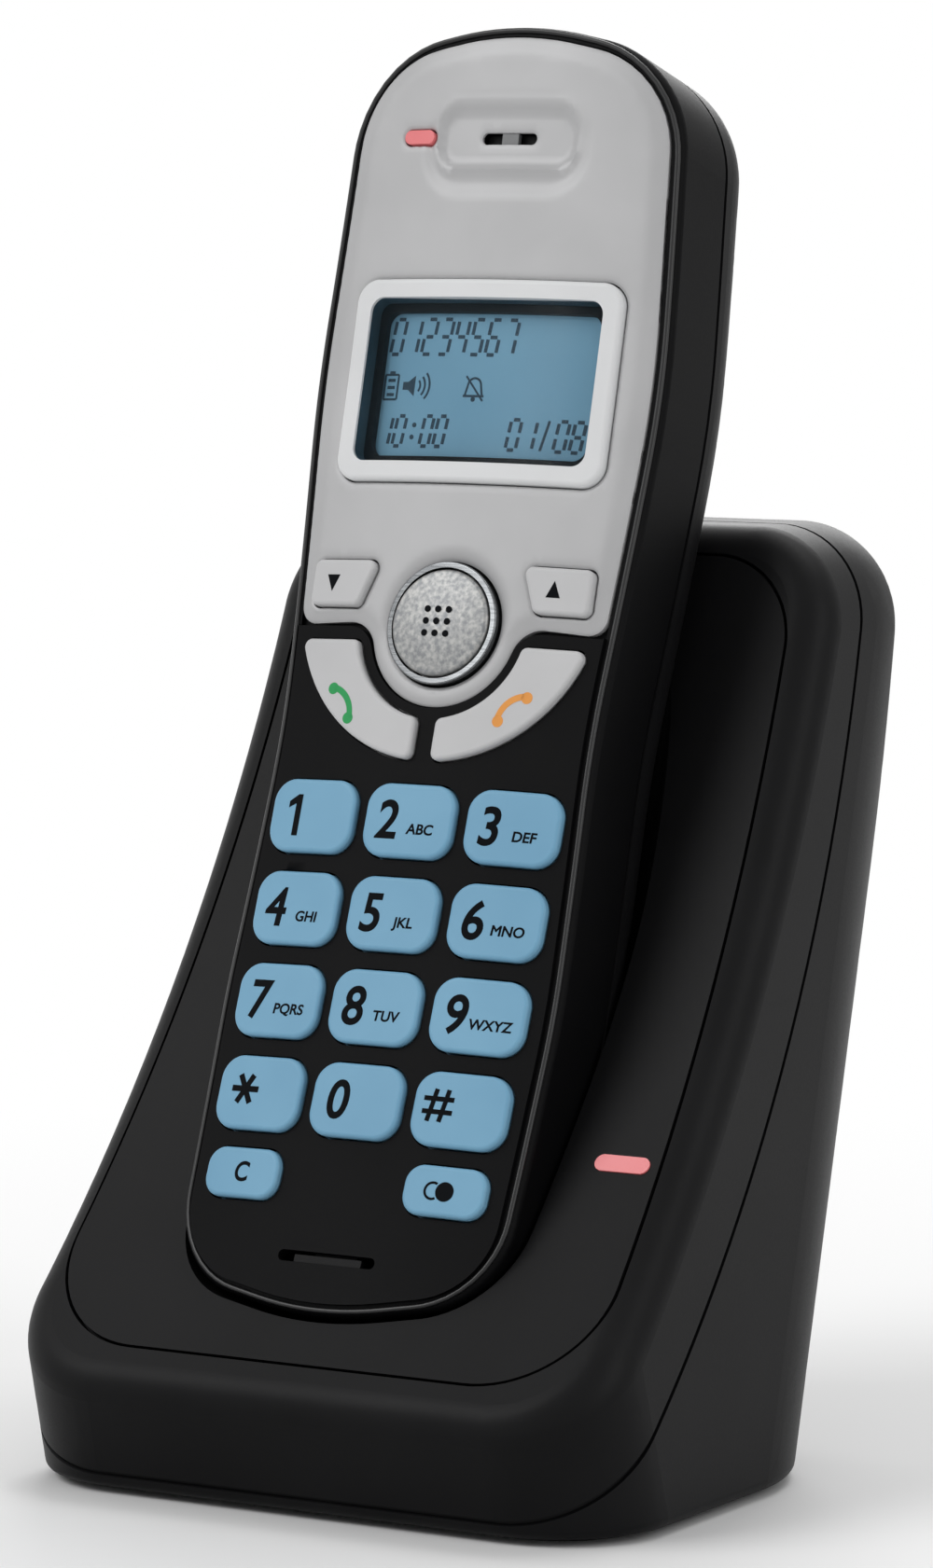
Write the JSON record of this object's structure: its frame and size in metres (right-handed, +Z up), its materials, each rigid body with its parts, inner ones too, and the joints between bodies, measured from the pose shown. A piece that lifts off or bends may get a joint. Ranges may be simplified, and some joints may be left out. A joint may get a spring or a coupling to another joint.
{
  "type": "cordless phone with charging base",
  "caption": "Slim cordless phone handset with display and keypad, standing upright in the moulded pocket of a leaning desk charging base.",
  "frame": {"origin": "on the desk, on the plane of the rubber foot ring, in the base's mirror plane, under the middle of its footprint", "axes": "+Z up, -Y towards the user, who faces the keypad, +X to the user's right"},
  "size_m": [0.0858, 0.0864, 0.1774],
  "materials": {
    "black_plastic": "satin moulded black",
    "silver_plastic": "silver lacquer, satin",
    "pale_plastic": "pale silver, satin",
    "clear_plastic": "clear",
    "lcd_glass": "blue reflective display",
    "red_lens": "translucent red",
    "dark_moulding": "moulded",
    "circuit_board": "solder mask",
    "plated_steel": "nickel plated",
    "cell_sleeve": "shrink sleeve",
    "grey_rubber": "silicone",
    "black_rubber": "moulded",
    "chrome_trim": "bright",
    "grey_key": "pale grey, satin",
    "blue_key": "pale blue, satin"
  },
  "bodies": {
    "base": {"base_top_cover": "black_plastic", "cradle_panel": "black_plastic", "base_lower_housing": "black_plastic", "base_board": "circuit_board", "base_charge_contacts": "plated_steel", "base_light_lens": "red_lens", "base_screws": "plated_steel", "base_foot_ring": "black_rubber", "page_switch": "circuit_board", "line_jack": "dark_moulding", "power_jack": "dark_moulding"},
    "page_button": {"page_button": "black_plastic"},
    "handset": {"handset_front_shell": "black_plastic", "handset_back_shell": "black_plastic", "handset_charge_contacts": "plated_steel", "handset_screws": "plated_steel", "faceplate": "silver_plastic", "display_bezel": "pale_plastic", "display_lens": "clear_plastic", "lcd_panel": "lcd_glass", "handset_light_lens": "red_lens", "earpiece_speaker": "dark_moulding", "microphone": "dark_moulding", "menu_key_ring": "chrome_trim", "handset_board": "circuit_board", "keypad_mat": "grey_rubber", "battery_cells": "cell_sleeve", "battery_contacts": "plated_steel"},
    "battery_door": {"battery_door": "black_plastic"},
    "key_1": {"key_1": "blue_key"},
    "key_2": {"key_2": "blue_key"},
    "key_3": {"key_3": "blue_key"},
    "key_4": {"key_4": "blue_key"},
    "key_5": {"key_5": "blue_key"},
    "key_6": {"key_6": "blue_key"},
    "key_7": {"key_7": "blue_key"},
    "key_8": {"key_8": "blue_key"},
    "key_9": {"key_9": "blue_key"},
    "key_star": {"key_star": "blue_key"},
    "key_0": {"key_0": "blue_key"},
    "key_hash": {"key_hash": "blue_key"},
    "key_clear": {"key_clear": "blue_key"},
    "key_redial": {"key_redial": "blue_key"},
    "key_down": {"key_down": "grey_key"},
    "key_up": {"key_up": "grey_key"},
    "talk_key": {"talk_key": "grey_key"},
    "end_key": {"end_key": "grey_key"},
    "menu_key": {"menu_key": "silver_plastic"}
  },
  "joints": [
    {"name": "handset_lift", "type": "slide", "parent": "base", "child": "handset", "axis": [0, 0.3024, 0.9532], "range_m": [0, 0.16]},
    {"name": "battery_door_slide", "type": "slide", "parent": "handset", "child": "battery_door", "axis": [0, 0.3024, 0.9532], "range_m": [0, 0.055]},
    {"name": "page_button_press", "type": "slide", "parent": "base", "child": "page_button", "axis": [0, -0.9907, 0.1357], "range_m": [0, 0.0008], "stiffness_N_per_m": 300},
    {"name": "key_1_press", "type": "slide", "parent": "handset", "child": "key_1", "axis": [0, 0.9532, -0.3024], "range_m": [0, 0.0007], "stiffness_N_per_m": 300},
    {"name": "key_2_press", "type": "slide", "parent": "handset", "child": "key_2", "axis": [0, 0.9532, -0.3024], "range_m": [0, 0.0007], "stiffness_N_per_m": 300},
    {"name": "key_3_press", "type": "slide", "parent": "handset", "child": "key_3", "axis": [0, 0.9532, -0.3024], "range_m": [0, 0.0007], "stiffness_N_per_m": 300},
    {"name": "key_4_press", "type": "slide", "parent": "handset", "child": "key_4", "axis": [0, 0.9532, -0.3024], "range_m": [0, 0.0007], "stiffness_N_per_m": 300},
    {"name": "key_5_press", "type": "slide", "parent": "handset", "child": "key_5", "axis": [0, 0.9532, -0.3024], "range_m": [0, 0.0007], "stiffness_N_per_m": 300},
    {"name": "key_6_press", "type": "slide", "parent": "handset", "child": "key_6", "axis": [0, 0.9532, -0.3024], "range_m": [0, 0.0007], "stiffness_N_per_m": 300},
    {"name": "key_7_press", "type": "slide", "parent": "handset", "child": "key_7", "axis": [0, 0.9532, -0.3024], "range_m": [0, 0.0007], "stiffness_N_per_m": 300},
    {"name": "key_8_press", "type": "slide", "parent": "handset", "child": "key_8", "axis": [0, 0.9532, -0.3024], "range_m": [0, 0.0007], "stiffness_N_per_m": 300},
    {"name": "key_9_press", "type": "slide", "parent": "handset", "child": "key_9", "axis": [0, 0.9532, -0.3024], "range_m": [0, 0.0007], "stiffness_N_per_m": 300},
    {"name": "key_star_press", "type": "slide", "parent": "handset", "child": "key_star", "axis": [0, 0.9532, -0.3024], "range_m": [0, 0.0007], "stiffness_N_per_m": 300},
    {"name": "key_0_press", "type": "slide", "parent": "handset", "child": "key_0", "axis": [0, 0.9532, -0.3024], "range_m": [0, 0.0007], "stiffness_N_per_m": 300},
    {"name": "key_hash_press", "type": "slide", "parent": "handset", "child": "key_hash", "axis": [0, 0.9532, -0.3024], "range_m": [0, 0.0007], "stiffness_N_per_m": 300},
    {"name": "key_clear_press", "type": "slide", "parent": "handset", "child": "key_clear", "axis": [0, 0.9532, -0.3024], "range_m": [0, 0.0007], "stiffness_N_per_m": 300},
    {"name": "key_redial_press", "type": "slide", "parent": "handset", "child": "key_redial", "axis": [0, 0.9532, -0.3024], "range_m": [0, 0.0007], "stiffness_N_per_m": 300},
    {"name": "key_down_press", "type": "slide", "parent": "handset", "child": "key_down", "axis": [0, 0.9532, -0.3024], "range_m": [0, 0.0007], "stiffness_N_per_m": 300},
    {"name": "key_up_press", "type": "slide", "parent": "handset", "child": "key_up", "axis": [0, 0.9532, -0.3024], "range_m": [0, 0.0007], "stiffness_N_per_m": 300},
    {"name": "talk_key_press", "type": "slide", "parent": "handset", "child": "talk_key", "axis": [0, 0.9532, -0.3024], "range_m": [0, 0.0007], "stiffness_N_per_m": 300},
    {"name": "end_key_press", "type": "slide", "parent": "handset", "child": "end_key", "axis": [0, 0.9532, -0.3024], "range_m": [0, 0.0007], "stiffness_N_per_m": 300},
    {"name": "menu_key_press", "type": "slide", "parent": "handset", "child": "menu_key", "axis": [0, 0.9532, -0.3024], "range_m": [0, 0.0007], "stiffness_N_per_m": 300}
  ]
}
